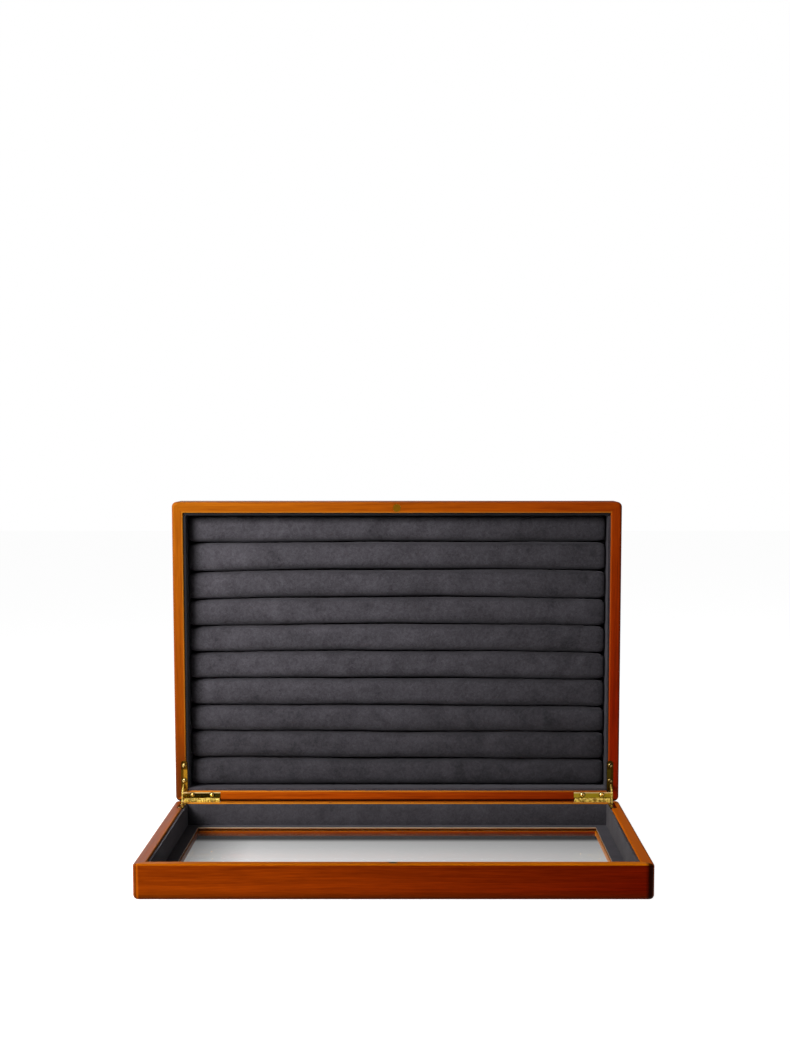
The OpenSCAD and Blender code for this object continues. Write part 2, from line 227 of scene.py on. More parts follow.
def figure_group():
    """Lacquered wood whose grain runs along X: long streaks, fine fibres and short pores.

    Each layer is noise with few cells per metre along the grain and many across it.
    """
    tree, given, out = group(
        "Wood Figure",
        [("Vector", "v"), ("Light", "c"), ("Dark", "c"), ("Contrast", "f")],
        [("Color", "c"), ("Roughness", "f"), ("Height", "f")])
    wander = noise(tree, mapped(tree, given["Vector"], (3, 12, 12)), 1.0, 2.0)
    bent = add(tree, "ShaderNodeVectorMath", operation="MULTIPLY_ADD")
    feed(tree, bent.inputs[0], wander)
    bent.inputs[1].default_value = (0, 0.012, 0.012)
    feed(tree, bent.inputs[2], given["Vector"])
    along = bent.outputs[0]
    bands = noise(tree, mapped(tree, along, (2.5, 130, 130)), 1.0, 4.0, 0.6)
    streaks = noise(tree, mapped(tree, along, (14, 560, 560)), 1.0, 3.0, 0.65)
    flecks = noise(tree, mapped(tree, along, (55, 1100, 1100)), 1.0, 2.0, 0.6)
    fibres = noise(tree, mapped(tree, along, (30, 2600, 2600)), 1.0, 2.0, 0.6)
    pores = spread(tree, noise(tree, mapped(tree, along, (110, 3400, 3400)), 1.0, 1.0), 0.62, 0.72)
    figure = weighted(tree, (bands, 0.34), (streaks, 0.30), (flecks, 0.22), (fibres, 0.14))
    swing = calc(tree, "MULTIPLY", calc(tree, "SUBTRACT", figure, 0.5), given["Contrast"])
    shade = calc(tree, "ADD", swing, 0.5, clamp=True)
    colour = blend_colour(tree, shade, given["Dark"], given["Light"])
    in_pores = calc(tree, "MULTIPLY", pores, 0.25)
    feed(tree, out["Color"], blend_colour(tree, in_pores, colour, given["Dark"]))
    feed(tree, out["Roughness"], spread(tree, streaks, 0.3, 0.7, 0.34, 0.46))
    feed(tree, out["Height"], calc(tree, "SUBTRACT", calc(tree, "MULTIPLY", fibres, 0.4), pores))
    return tree


def nap_group():
    """Velvet: wide brushed patches, small crushed marks and a fine pile."""
    tree, given, out = group(
        "Velvet Nap",
        [("Vector", "v"), ("Color", "c"), ("Mottle", "f")],
        [("Color", "c"), ("Roughness", "f"), ("Height", "f")])
    patches = noise(tree, given["Vector"], 45.0, 3.0, 0.55, 0.6)
    marks = noise(tree, given["Vector"], 420.0, 3.0, 0.65, 0.8)
    pile = noise(tree, given["Vector"], 2600.0, 2.0, 0.7)
    swing = weighted(tree, *((calc(tree, "SUBTRACT", layer, 0.5), weight)
                             for layer, weight in ((patches, 0.9), (marks, 1.1), (pile, 0.9))))
    level = calc(tree, "ADD", calc(tree, "MULTIPLY", swing, given["Mottle"]), 1.0)
    feed(tree, out["Color"], scaled(tree, given["Color"], level))
    feed(tree, out["Roughness"], spread(tree, marks, 0.3, 0.7, 0.75, 0.95))
    feed(tree, out["Height"], calc(tree, "ADD", pile, calc(tree, "MULTIPLY", marks, 0.8)))
    return tree


def plating_group():
    """Polished plating: a soft bloom, tarnish in patches, fine hairlines and a rippled surface."""
    tree, given, out = group(
        "Plating",
        [("Vector", "v"), ("Color", "c"), ("Dull", "c"), ("Roughness", "f"), ("Patchy", "f"),
         ("Ripple", "f")],
        [("Color", "c"), ("Roughness", "f"), ("Height", "f")])
    bloom = noise(tree, given["Vector"], 160.0, 4.0, 0.6)
    patches = noise(tree, given["Vector"], 640.0, 2.0, 0.6, 0.6)
    waves = noise(tree, given["Vector"], 560.0, 1.0, 0.5)
    hairs = noise(tree, mapped(tree, given["Vector"], (300, 300, 6000)), 1.0, 2.0)
    wear_and_painted_shade = calc(tree, "MULTIPLY", spread(tree, patches, 0.46, 0.58), given["Patchy"])
    tarnish = calc(tree, "MAXIMUM", spread(tree, bloom, 0.45, 0.75), wear_and_painted_shade)
    feed(tree, out["Color"], blend_colour(tree, tarnish, given["Color"], given["Dull"]))
    rough = calc(tree, "ADD", given["Roughness"], calc(tree, "MULTIPLY", bloom, 0.12))
    feed(tree, out["Roughness"], rough)
    rippled = calc(tree, "MULTIPLY", waves, given["Ripple"])
    feed(tree, out["Height"], calc(tree, "ADD", calc(tree, "MULTIPLY", hairs, 0.05), rippled))
    return tree


FIGURE = figure_group()
NAP = nap_group()
PLATING = plating_group()


# ------------------------------------------------------------------ materials

def blank(name, **constants):
    """A material with one Principled BSDF, whose constants are set on its own sockets."""
    made = bpy.data.materials.new(name)
    made.use_nodes = True
    tree = made.node_tree
    tree.nodes.clear()
    shader = add(tree, "ShaderNodeBsdfPrincipled")
    tree.links.new(shader.outputs[0], add(tree, "ShaderNodeOutputMaterial").inputs[0])
    for label, value in constants.items():
        shader.inputs[label.replace("_", " ")].default_value = value
    return made, tree, shader


def place_group(tree, kind, shader, vector, bump, **inputs):
    """Puts an effect group in a material and feeds the shader its colour, roughness and bump."""
    made = add(tree, "ShaderNodeGroup", node_tree=kind)
    feed(tree, made.inputs["Vector"], vector)
    for label, value in inputs.items():
        feed(tree, made.inputs[label], value)
    feed(tree, shader.inputs["Base Color"], made.outputs["Color"])
    feed(tree, shader.inputs["Roughness"], made.outputs["Roughness"])
    dent = add(tree, "ShaderNodeBump")
    dent.inputs["Strength"].default_value = bump
    dent.inputs["Distance"].default_value = 0.1 * MM
    feed(tree, dent.inputs["Height"], made.outputs["Height"])
    feed(tree, shader.inputs["Normal"], dent.outputs[0])


def stain_over(tree, shader, share, stain):
    """Blends a colour over the one that already feeds the shader."""
    bare = shader.inputs["Base Color"].links[0].from_socket
    feed(tree, shader.inputs["Base Color"], blend_colour(tree, share, bare, stain))


def shader_of(tree):
    """A material's Principled BSDF."""
    return next(node for node in tree.nodes if node.type == "BSDF_PRINCIPLED")


def object_coords(tree):
    """The place on the piece, in metres."""
    return add(tree, "ShaderNodeTexCoord").outputs["Object"]


def split_coords(tree):
    """The X, Y and Z of the place on the piece."""
    place = add(tree, "ShaderNodeSeparateXYZ")
    feed(tree, place.inputs[0], object_coords(tree))
    return place.outputs


LACQUER_TINT = (1.0, 0.45, 0.08, 1)
# A painted highlight for a rail's inner edge, paler orange, where the lacquer catches the light.
RAIL_EDGE_HIGHLIGHT = (0.62, 0.23, 0.02, 1)
RAIL_HIGHLIGHT_FADE = (0.5 * MM, 1.3 * MM)               # how far from the edge the painted highlight fades out
GRAIN_CONTRAST = 4.8
GRAIN_BUMP = 0.05
LIGHT_SHADES = ((0.42, 0.120, 0.003, 1), (0.35, 0.054, 0.0012, 1), (0.22, 0.0080, 0.0005, 1))
DARK_SHADES = ((0.24, 0.056, 0.0015, 1), (0.18, 0.022, 0.0007, 1), (0.10, 0.0033, 0.0003, 1))
GRAIN_TURN = {"X": (0, 0, 0), "Y": (0, 0, math.radians(-90)), "Z": (0, math.radians(90), 0)}


def wood(node, along, tone=0.0, cut=0.0, ends=(1, 1), edge=None, marks=(), gloss=0.22):
    """Amber-lacquered wood with its grain along one axis.

    Its tone runs from honey at the standing box's upper left, through amber, to russet at its
    lower right: painted light falloff, lighter and yellower towards the key lamp; tone shifts it.
    cut moves to another stretch of the timber. ends are the timber's brightness at its low and high
    end, partly its own tone and partly painted light falloff along the rail. edge is the axis and
    the place of the rail's inner face and the strength of a painted highlight, paler orange, on
    that edge. Each of marks is a colour that fades in along an axis, from one place to another, up
    to a share; a pair of colours runs from the first, in the middle of the timber, to the second at
    its high end. After the colour come its limits: the axis, where it is gone and where it is
    whole. The marks given here are painted light and shade.
    """
    made, tree, shader = blank("wood_" + node, Specular_IOR_Level=gloss, Specular_Tint=LACQUER_TINT)
    vector = mapped(tree, object_coords(tree), location=(cut, cut * 0.7, cut * 1.3),
                    rotation=GRAIN_TURN[along])
    place = split_coords(tree)
    # painted light falloff: lighter and yellower towards the key lamp at the upper left, redder to
    # the lower right
    rightward = spread(tree, place["X"], CAD_BOX[0].x, CAD_BOX[1].x, tone, tone + 0.5)
    downward = spread(tree, place["Z"], CAD_BOX[1].z, CAD_BOX[0].z, 0.0, 0.5)
    light_falloff = calc(tree, "ADD", rightward, downward)
    early = spread(tree, light_falloff, 0.0, 0.5)
    late = spread(tree, light_falloff, 0.5, 1.0)
    low, high = (getattr(corner, along.lower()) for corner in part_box(node))
    level = spread(tree, place[along], low, high, *ends)
    shades = []
    for honey, amber, russet in (LIGHT_SHADES, DARK_SHADES):
        shade = blend_colour(tree, late, blend_colour(tree, early, honey, amber), russet)
        shades.append(scaled(tree, shade, level))
    place_group(tree, FIGURE, shader, vector, GRAIN_BUMP, Light=shades[0], Dark=shades[1],
                Contrast=GRAIN_CONTRAST)
    # a painted highlight along the rail's inner edge
    if edge is not None:
        axis, inner, share = edge
        away = calc(tree, "ABSOLUTE", calc(tree, "SUBTRACT", place[axis], inner))
        stain_over(tree, shader, spread(tree, away, *RAIL_HIGHLIGHT_FADE, share, 0.0), RAIL_EDGE_HIGHLIGHT)
    for axis, start, full, share, stain, *limits in marks:
        stained = spread(tree, place[axis], start, full, 0.0, share)
        for across, gone, whole in limits:
            stained = product(tree, stained, spread(tree, place[across], gone, whole))
        if isinstance(stain[0], tuple):
            further = spread(tree, place[along], (low + high) / 2, high)
            stain = blend_colour(tree, further, *stain)
        stain_over(tree, shader, stained, stain)
    return made


def velvet(name, colour, mottle=1.0, wear_and_painted_shade=False):
    """Charcoal velvet with a mottled nap. When its last argument is set, it has painted light
    falloff:
    darker towards the tray's foot and its right-hand end."""
    made, tree, shader = blank(name, Sheen_Weight=0.12, Sheen_Roughness=0.4,
                               Sheen_Tint=(0.75, 0.72, 0.8, 1), Specular_IOR_Level=0.1)
    if wear_and_painted_shade:
        # painted light falloff: darker towards the right and towards the foot
        place = split_coords(tree)
        rightward = spread(tree, place["X"], -20 * MM, 150 * MM, 1.0, 0.78)
        upward = spread(tree, place["Z"], 60 * MM, 130 * MM, 0.76, 1.06)
        colour = scaled(tree, colour[:3], product(tree, rightward, upward))
    place_group(tree, NAP, shader, object_coords(tree), 0.5, Color=colour, Mottle=mottle)
    return made


def plated(name, colour, dull, roughness, metallic=1.0, patchy=0.0, ripple=0.0):
    """Plated metal. patchy is how strong the tarnished patches are, ripple how uneven it is."""
    made, tree, shader = blank(name, Metallic=metallic)
    place_group(tree, PLATING, shader, object_coords(tree), 1.0, Color=colour, Dull=dull,
                Roughness=roughness, Patchy=patchy, Ripple=ripple)
    return made


def from_nearest(tree, place, spots, plane):
    """How far a point lies from the nearest of some screws, seen along their axis.

    spots are the screws' places: the distance from the middle of the box along X, and the place
    along the other axis of the leaf, which is plane.
    """
    across = calc(tree, "ABSOLUTE", place["X"])
    nearest = 1.0
    for x, other in spots:
        away = distance(tree, calc(tree, "SUBTRACT", across, x),
                        calc(tree, "SUBTRACT", place[plane], other))
        nearest = calc(tree, "MINIMUM", away, nearest)
    return nearest


def past_back_leg(tree, place, plane, root):
    """How far a point lies along a leaf from its root, and a mask of the side leg.

    plane is the axis along the side leg, and root the place on it of the back leg's outer edge.
    """
    reach = calc(tree, "ABSOLUTE", calc(tree, "SUBTRACT", place[plane], root))
    return reach, calc(tree, "GREATER_THAN", reach, BACK_LEG)


def screw_heads(name, spots, plane, root):
    """Gilt screws with domed heads. The dome's height is one less the square of the distance from
    the screw's middle over the head's radius.

    root is as in past_back_leg. The screws in a side leg are darker, most so on the right: painted
    shade.
    """
    made = plated(name, (0.90, 0.66, 0.24, 1), (0.62, 0.36, 0.08, 1), 0.2)
    tree = made.node_tree
    shader = shader_of(tree)
    place = split_coords(tree)
    on_side = past_back_leg(tree, place, plane, root)[1]
    # painted shade: the screws in a side leg darker, more so to the right
    rightward = spread(tree, place["X"], -100 * MM, 100 * MM, 0.3, 0.75)
    side_leg_shade = product(tree, on_side, rightward)
    stain_over(tree, shader, side_leg_shade, HINGE_DARK_BROWN)
    share = calc(tree, "DIVIDE", from_nearest(tree, place, spots, plane), HEAD_R)
    dome = add(tree, "ShaderNodeBump")
    dome.inputs["Distance"].default_value = DOME
    feed(tree, dome.inputs["Height"], opposite(tree, product(tree, share, share)))
    feed(tree, shader.inputs["Normal"], dome.outputs[0])
    return made


def leaf_plating(name, spots, plane, root, tints):
    """A leaf's plating, with a darker ring round each screw head and a bright barrel, tarnished in
    patches.

    root is as in past_back_leg. tints are the colours of the back leg and of the side leg, each
    on the left-hand and the right-hand hinge, which differ as painted light and painted reflection.
    The side leg has painted shade on its outer edge and at its tip, and the back leg a painted
    highlight along its free edge.
    """
    made, tree, shader = blank(name)
    place = split_coords(tree)
    right = calc(tree, "GREATER_THAN", place["X"], 0.0)
    reach, on_side = past_back_leg(tree, place, plane, root)
    back_leg, side_leg = (blend_colour(tree, right, *pair) for pair in tints)
    across = calc(tree, "ABSOLUTE", place["X"])
    # painted shade on the side leg's outer edge
    outer = spread(tree, across, LEAF_HIGH.x - 2.2 * MM, LEAF_HIGH.x - 1.6 * MM, 0.0, 0.85)
    side_leg = blend_colour(tree, outer, side_leg, HINGE_DARK_BROWN)
    # painted shade on the side leg's tip
    tip = spread(tree, reach, LEG_TIP, LEG_TIP + 0.6 * MM, 0.0, 0.8)
    side_leg = blend_colour(tree, tip, side_leg, HINGE_DARK_BROWN)
    plate = blend_colour(tree, on_side, back_leg, side_leg)
    on_back = opposite(tree, on_side)
    # a painted highlight along the back leg's free edge
    at_edge = spread(tree, reach, BACK_LEG - 1.1 * MM, BACK_LEG - 0.7 * MM)
    free_edge_highlight = product(tree, at_edge, on_back)
    plate = blend_colour(tree, free_edge_highlight, plate, BRASS_EDGE_HIGHLIGHT)
    from_axis = distance(tree, calc(tree, "SUBTRACT", place["Y"], HINGE_Y),
                         calc(tree, "SUBTRACT", place["Z"], HINGE_Z))
    barrel = calc(tree, "LESS_THAN", from_axis, KNUCKLE + 0.1 * MM)
    colour = blend_colour(tree, barrel, plate, BRASS_BRIGHT)
    dull = blend_colour(tree, barrel, plate, BRASS_DARK)
    place_group(tree, PLATING, shader, object_coords(tree), 1.0, Color=colour, Dull=dull,
                Roughness=0.12, Patchy=calc(tree, "MULTIPLY", barrel, 0.9),
                Ripple=calc(tree, "MULTIPLY", barrel, RIPPLE))
    matt = calc(tree, "MAXIMUM", free_edge_highlight, calc(tree, "MULTIPLY", right, 0.8))
    matt = product(tree, calc(tree, "MAXIMUM", barrel, matt), on_back)
    feed(tree, shader.inputs["Metallic"], spread(tree, matt, 0.0, 1.0, 1.0, 0.4))
    # a darker ring round each screw head
    from_screw = from_nearest(tree, place, spots, plane)
    ring = spread(tree, from_screw, HEAD_R + 0.1 * MM, HEAD_R + 1.1 * MM, 0.85, 0.0)
    stain_over(tree, shader, ring, HINGE_DARK_BROWN)
    return made


def glass():
    """Clear float glass. Its alpha is low, so that it shows little reflection."""
    return blank("clear_glass", Base_Color=(0.97, 0.98, 0.985, 1), Roughness=0.0, IOR=1.5,
                 Transmission_Weight=1.0, Alpha=0.08)[0]


def card_edge(base):
    """The window frame's velvet: with painted shade on its left bar, and cut through round the
    window, where a layer of bare card shows over stained board."""
    made = base.copy()
    made.name = "velvet_with_card_edge"
    tree = made.node_tree
    shader = shader_of(tree)
    place = split_coords(tree)
    # painted shade on the frame's left bar
    in_shade = spread(tree, place["X"], 1 * MM - WINDOW_SIDE, 3 * MM - WINDOW_SIDE, 0.6, 0.0)
    stain_over(tree, shader, in_shade, BLACK)
    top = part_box("window_lining")[1].z
    middle_y = (GLASS_LOW.y + GLASS_HIGH.y) / 2
    off_y = calc(tree, "ABSOLUTE", calc(tree, "SUBTRACT", place["Y"], middle_y))
    in_x = calc(tree, "LESS_THAN", calc(tree, "ABSOLUTE", place["X"]), WINDOW_SIDE + CUT_SKIN)
    in_y = calc(tree, "LESS_THAN", off_y, WINDOW_BACK - middle_y + CUT_SKIN)
    below = calc(tree, "LESS_THAN", place["Z"], top - NAP_DEPTH)
    card = calc(tree, "GREATER_THAN", place["Z"], top - CARD_DEPTH)
    cut_face = blend_colour(tree, card, STAINED_BOARD, BARE_CARD)
    stain_over(tree, shader, product(tree, in_x, in_y, below), cut_face)
    return made


def dress(node, material):
    """Gives a CAD node its finish."""
    for held in frame["nodes"][node].material_slots:
        held.material = material


def inner_edge(node, axis, outward, share):
    """A rail's inner edge, for a painted highlight: its axis, its place and how strong the
    highlight is.

    outward is the sign of the rail's outer side.
    """
    low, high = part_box(node)
    return axis, getattr(low if outward > 0 else high, axis.lower()), share


FACE_LOW, FACE_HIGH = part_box("lid_front_rail")
RIM_Z = FACE_HIGH.z                             # the plane of the lid's rim
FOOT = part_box("tray_back_rail")[0].z            # the standing tray's foot
TRAY_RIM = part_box("tray_back_rail")[0].y        # the plane of the standing tray's rim
GLASS_LOW, GLASS_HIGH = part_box("lid_glass")
GLASS_LIP = 5 * MM                              # how far the glass reaches under the frame
WINDOW_SIDE = GLASS_HIGH.x - GLASS_LIP
WINDOW_BACK = GLASS_HIGH.y - GLASS_LIP
# A painted highlight and a painted shade, for the wood's marks.
PAINTED_HIGHLIGHT_ORANGE = (0.62, 0.125, 0.002, 1)
PAINTED_SHADE_BLACK = (0.006, 0.0006, 0.0002, 1)
BLACK = (0, 0, 0, 1)
STAINED_BOARD = (0.20, 0.040, 0.002, 1)
BARE_CARD = (0.34, 0.25, 0.16, 1)
NAP_DEPTH = 0.06 * MM                           # of the velvet over the window frame's card
CARD_DEPTH = 0.8 * MM                           # of the velvet and the bare card under it
CUT_SKIN = 0.35 * MM                            # how near the window's opening is its cut face
# Painted light on the lid's rim tops, towards the rim.
RIM_PAINTED_LIGHT = ("Z", RIM_Z - 1.3 * MM, RIM_Z - 0.7 * MM, 0.95)

# What wood() takes as marks, all painted light and shade: light on the lid's rims, shade on the
# foot and ends of its front with a highlight by its left end, light on the upper part and right
# side of its window and shade on its lower back lip and left side, shade on the tray's left rail
# towards its foot, a darker, redder right-hand part of its back rail and shade on that rail's edge
# by the slit.
MARKS = {
    # painted light on the rim, painted shade on the foot and right end, a painted highlight and a
    # painted shade line at the left end
    "lid_front_rail": (
        RIM_PAINTED_LIGHT + (((0.44, 0.105, 0.001, 1), (0.80, 0.205, 0.003, 1)),),
        ("Z", FACE_LOW.z + 7.0 * MM, FACE_LOW.z + 1.5 * MM, 0.6,
         ((0.03, 0.010, 0.0004, 1), (0.09, 0.014, 0.0004, 1)),
         ("Y", FACE_LOW.y + 4.5 * MM, FACE_LOW.y + 3.0 * MM)),
        ("X", FACE_LOW.x + 3.3 * MM, FACE_LOW.x + 2.3 * MM, 0.4, PAINTED_HIGHLIGHT_ORANGE),
        ("X", FACE_LOW.x + 1.8 * MM, FACE_LOW.x + 1.3 * MM, 0.6, PAINTED_SHADE_BLACK),
        ("X", FACE_HIGH.x - 5.0 * MM, FACE_HIGH.x - 2.6 * MM, 0.93, PAINTED_SHADE_BLACK)),
    # painted light on the right rim
    "lid_right_rail": (RIM_PAINTED_LIGHT + (PAINTED_HIGHLIGHT_ORANGE,),),
    # painted light on the upper part and right side, painted shade on the lower back lip and left
    # side
    "lid_window_panel": (
        ("Z", 3.6 * MM, 3.75 * MM, 0.9, (0.52, 0.140, 0.003, 1)),
        ("Z", 3.4 * MM, 1.2 * MM, 0.95, (0.02, 0.012, 0.008, 1),
         ("Y", WINDOW_BACK + 0.6 * MM, WINDOW_BACK + 0.2 * MM), ("Y", 0.0, 20 * MM),
         ("X", WINDOW_SIDE, WINDOW_SIDE - 0.5 * MM),
         ("X", -WINDOW_SIDE, 0.5 * MM - WINDOW_SIDE)),
        ("X", WINDOW_SIDE - 0.6 * MM, WINDOW_SIDE - 0.1 * MM, 0.8, (0.80, 0.26, 0.004, 1),
         ("X", WINDOW_SIDE + 0.6 * MM, WINDOW_SIDE + 0.2 * MM)),
        ("X", 0.6 * MM - WINDOW_SIDE, 0.1 * MM - WINDOW_SIDE, 0.7, (0.03, 0.010, 0.003, 1),
         ("X", -WINDOW_SIDE - 0.6 * MM, -WINDOW_SIDE - 0.2 * MM))),
    # painted shade, darker towards the foot
    "tray_left_rail": (
        ("Z", FOOT + 60 * MM, FOOT + 12 * MM, 0.65, (0.06, 0.015, 0.003, 1),
         ("Y", TRAY_RIM + 5 * MM, TRAY_RIM + 3 * MM)),),
    # painted shade: darker and redder to the right, and dark on the edge by the slit
    "tray_back_rail": (
        ("X", 20 * MM, 150 * MM, 0.5, (0.16, 0.006, 0.0004, 1)),
        ("Z", FOOT + 2.6 * MM, FOOT + 1.5 * MM, 0.93, PAINTED_SHADE_BLACK,
         ("Y", TRAY_RIM + 4 * MM, TRAY_RIM + 2.5 * MM))),
}

# What else wood() takes for each piece: its grain's axis, tone, cut and ends, the ends partly
# painted light falloff, then what inner_edge() takes for a painted highlight, and the gloss.
WOODS = {
    "lid_front_rail": ("X", 0.03, 0.31, (0.95, 1.22), ("Y", -1, 0.55), 0.04),
    "lid_back_rail": ("X", -0.45, 1.73, (1, 1), ("Y", 1, 0.55), 0.22),
    "lid_left_rail": ("Y", -0.1, 2.11, (1, 1), ("X", -1, 0.3), 0.27),
    "lid_right_rail": ("Y", -0.4, 3.37, (1, 1), ("X", 1, 0.3), 0.03),
    "lid_window_panel": ("X", -0.1, 4.19, (1, 1), None, 0.22),
    "tray_front_rail": ("X", 0.06, 5.53, (0.85, 1.2), ("Z", 1, 0.55), 0.22),
    "tray_back_rail": ("X", -0.12, 6.71, (1.38, 1.25), ("Z", -1, 0.55), 0.22),
    "tray_left_rail": ("Z", 0.1, 7.93, (0.66, 0.8), ("X", -1, 0.55), 0.22),
    "tray_right_rail": ("Z", 0.2, 8.17, (1.4, 1.2), ("X", 1, 0.1), 0.22),
    "tray_base": ("X", 0.2, 9.41, (1, 1), None, 0.22),
}
for piece, (along, tone, cut, ends, lit_edge, gloss) in WOODS.items():
    edge = inner_edge(piece, *lit_edge) if lit_edge else None
    dress(piece, wood(piece, along, tone, cut, ends, edge, MARKS.get(piece, ()), gloss))

CHARCOAL = (0.046, 0.0425, 0.049, 1)
VELVET = velvet("velvet", CHARCOAL)
# The rolls' velvet, with the painted light falloff.
ROLL_VELVET = velvet("velvet_of_rolls", CHARCOAL, 1.35, True)
# Copies of the velvet at other levels, for the lining walls: the ones in shade are painted shade,
# the one in light painted light, as the walls face away from or towards the key lamp.
DIM_VELVET = velvet("velvet_in_shade", (0.012, 0.011, 0.013, 1))
SHADED_VELVET = velvet("velvet_half_in_shade", (0.021, 0.0185, 0.0205, 1))
LID_VELVET = velvet("velvet_of_lid", (0.0405, 0.037, 0.0425, 1))
LIT_VELVET = velvet("velvet_in_light", (0.068, 0.0625, 0.065, 1))
FELT = velvet("felt", (0.02, 0.02, 0.022, 1), 0.5)
FOAM = velvet("foam", (0.6, 0.55, 0.4, 1), 0.3)
# A dark brown for the hinges' painted shade, and for a darker ring round each screw head.
HINGE_DARK_BROWN = (0.03, 0.012, 0.001, 1)
BRASS_BRIGHT = (1.0, 0.74, 0.16, 1)
BRASS_DARK = (0.22, 0.11, 0.006, 1)
# The painted highlight on a leaf's free edge.
BRASS_EDGE_HIGHLIGHT = (0.95, 0.68, 0.30, 1)
RIPPLE = 2.5                                    # how uneven the knuckles' plating is
GILT = plated("worn_gilt", BRASS_BRIGHT, BRASS_DARK, 0.15, 0.5, 0.8, 1.5)
MAGNET = plated("magnet_plate", (0.25, 0.11, 0.004, 1), (0.16, 0.07, 0.003, 1), 0.35)

HEAD_R = 1.7 * MM                               # a screw head's radius
DOME = 0.9 * MM                                 # how high a head is domed
KNUCKLE = 2.1 * MM                              # a knuckle's radius
BACK_LEG = 7.5 * MM                             # the width of a leaf's back leg
LEG_TIP = 25.3 * MM                             # where the painted shade on a side leg's tip begins
LEAF_LOW, LEAF_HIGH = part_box("tray_hinge_leaf_right")
HINGE_Y = LEAF_LOW.y + KNUCKLE                  # the hinge's axis
HINGE_Z = LEAF_LOW.z + KNUCKLE
LEG_X = LEAF_HIGH.x - 2.4 * MM                  # the middle of a leaf's side leg
LID_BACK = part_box("lid_back_rail")[1].y         # the lid's outer back face

# The screws' places: along the hinge and away from the leaf's root in the back leg, and away from
# the root in the side leg.
BACK_SCREWS = (LEAF_LOW.x + 6.8 * MM, LEAF_HIGH.x - 8.8 * MM)
BACK_REACH = 5.35 * MM
SIDE_REACHES = (16.8 * MM, 29.0 * MM)
SPOTS = [(x, BACK_REACH) for x in BACK_SCREWS] + [(LEG_X, reach) for reach in SIDE_REACHES]
TRAY_SPOTS = [(x, FOOT + reach) for x, reach in SPOTS]
LID_SPOTS = [(x, LID_BACK - reach) for x, reach in SPOTS]
# The leaves' colours, back leg then side leg, each left-hand then right-hand: painted light and
# painted reflection, such as the near black of the tray's right-hand side leg and the wood's orange
# on the lid's side legs.
TRAY_TINTS = (((0.30, 0.20, 0.012, 1), (0.55, 0.40, 0.02, 1)),
              ((0.34, 0.165, 0.012, 1), (0.05, 0.034, 0.003, 1)))
LID_TINTS = (((0.95, 0.66, 0.12, 1), (0.85, 0.60, 0.10, 1)),
             ((0.40, 0.16, 0.010, 1), (0.40, 0.16, 0.010, 1)))
TRAY_LEAF = leaf_plating("gilt_tray_leaf", TRAY_SPOTS, "Z", FOOT, TRAY_TINTS)
LID_LEAF = leaf_plating("gilt_lid_leaf", LID_SPOTS, "Y", LID_BACK, LID_TINTS)
TRAY_SCREWS = screw_heads("gilt_tray_screws", TRAY_SPOTS, "Z", FOOT)
LID_SCREWS = screw_heads("gilt_lid_screws", LID_SPOTS, "Y", LID_BACK)

# The finish of every piece whose name begins like this.
FINISHES = {
    "lid_glass": glass(),
    "base_felt": FELT,
    "base_lining": VELVET,
    "window_lining": card_edge(VELVET),
    "roll_foam": FOAM,
    "lid_magnet": MAGNET,
    "tray_magnet": MAGNET,
    "lid_hinge_leaf": LID_LEAF,
    "tray_hinge_leaf": TRAY_LEAF,
    "lid_hinge_screws": LID_SCREWS,
    "tray_hinge_screws": TRAY_SCREWS,
    "hinge_pin": GILT,
    "stay_arm": GILT,
}
for part in frame["nodes"]:
    for start, material in FINISHES.items():
        if part.startswith(start):
            dress(part, material)


# ------------------------------------------------------------------ meshes

def new_piece(name, points, faces, material):
    """A smooth mesh object at the origin."""
    mesh = bpy.data.meshes.new(name)
    mesh.from_pydata(points, [], faces)
    mesh.polygons.foreach_set("use_smooth", np.ones(len(mesh.polygons), bool))
    mesh.materials.append(material)
    made = bpy.data.objects.new(name, mesh)
    SCENE.collection.objects.link(made)
    return made


def closed_tube(rings):
    """Points and faces of a tube of closed rings, shape (stations, spokes, 3), whose two ends are
    drawn together at a pole, the mean of the end ring."""
    stations, spokes = rings.shape[:2]
    points = np.vstack([rings.reshape(-1, 3), rings[0].mean(0), rings[-1].mean(0)])
    s, k = np.meshgrid(np.arange(stations - 1), np.arange(spokes), indexing="ij")
    k_next = (k + 1) % spokes
    quads = np.stack([s * spokes + k, (s + 1) * spokes + k,
                      (s + 1) * spokes + k_next, s * spokes + k_next], -1).reshape(-1, 4)
    k = np.arange(spokes)
    first, last = stations * spokes, stations * spokes + 1
    start = np.stack([k, (k + 1) % spokes, np.full(spokes, first)], -1)
    end_ring = (stations - 1) * spokes
    end = np.stack([end_ring + (k + 1) % spokes, end_ring + k, np.full(spokes, last)], -1)
    return points, quads.tolist() + start.tolist() + end.tolist()


def seam_drift(seam, x, half_length):
    """How far a seam between two rolls lies above its even place.

    The middle's height, plus the climb times x over the half length, less the drop times its
    square, plus two small sine waves. The two outer seams, against the wall boards, are straight.
    """
    if seam in (0, ROLLS):
        return np.zeros_like(x)
    along = x / half_length
    middle, climb, drop = SEAM_MIDDLE[seam - 1], SEAM_CLIMB[seam - 1], SEAM_DROP[seam - 1]
    ripple = np.sin(along * 7.0 + 2.1 * seam) + 0.5 * np.sin(along * 17.0 + 3.7 * seam)
    return MM * (middle + climb * along - drop * along ** 2 + SEAM_RIPPLE * ripple)


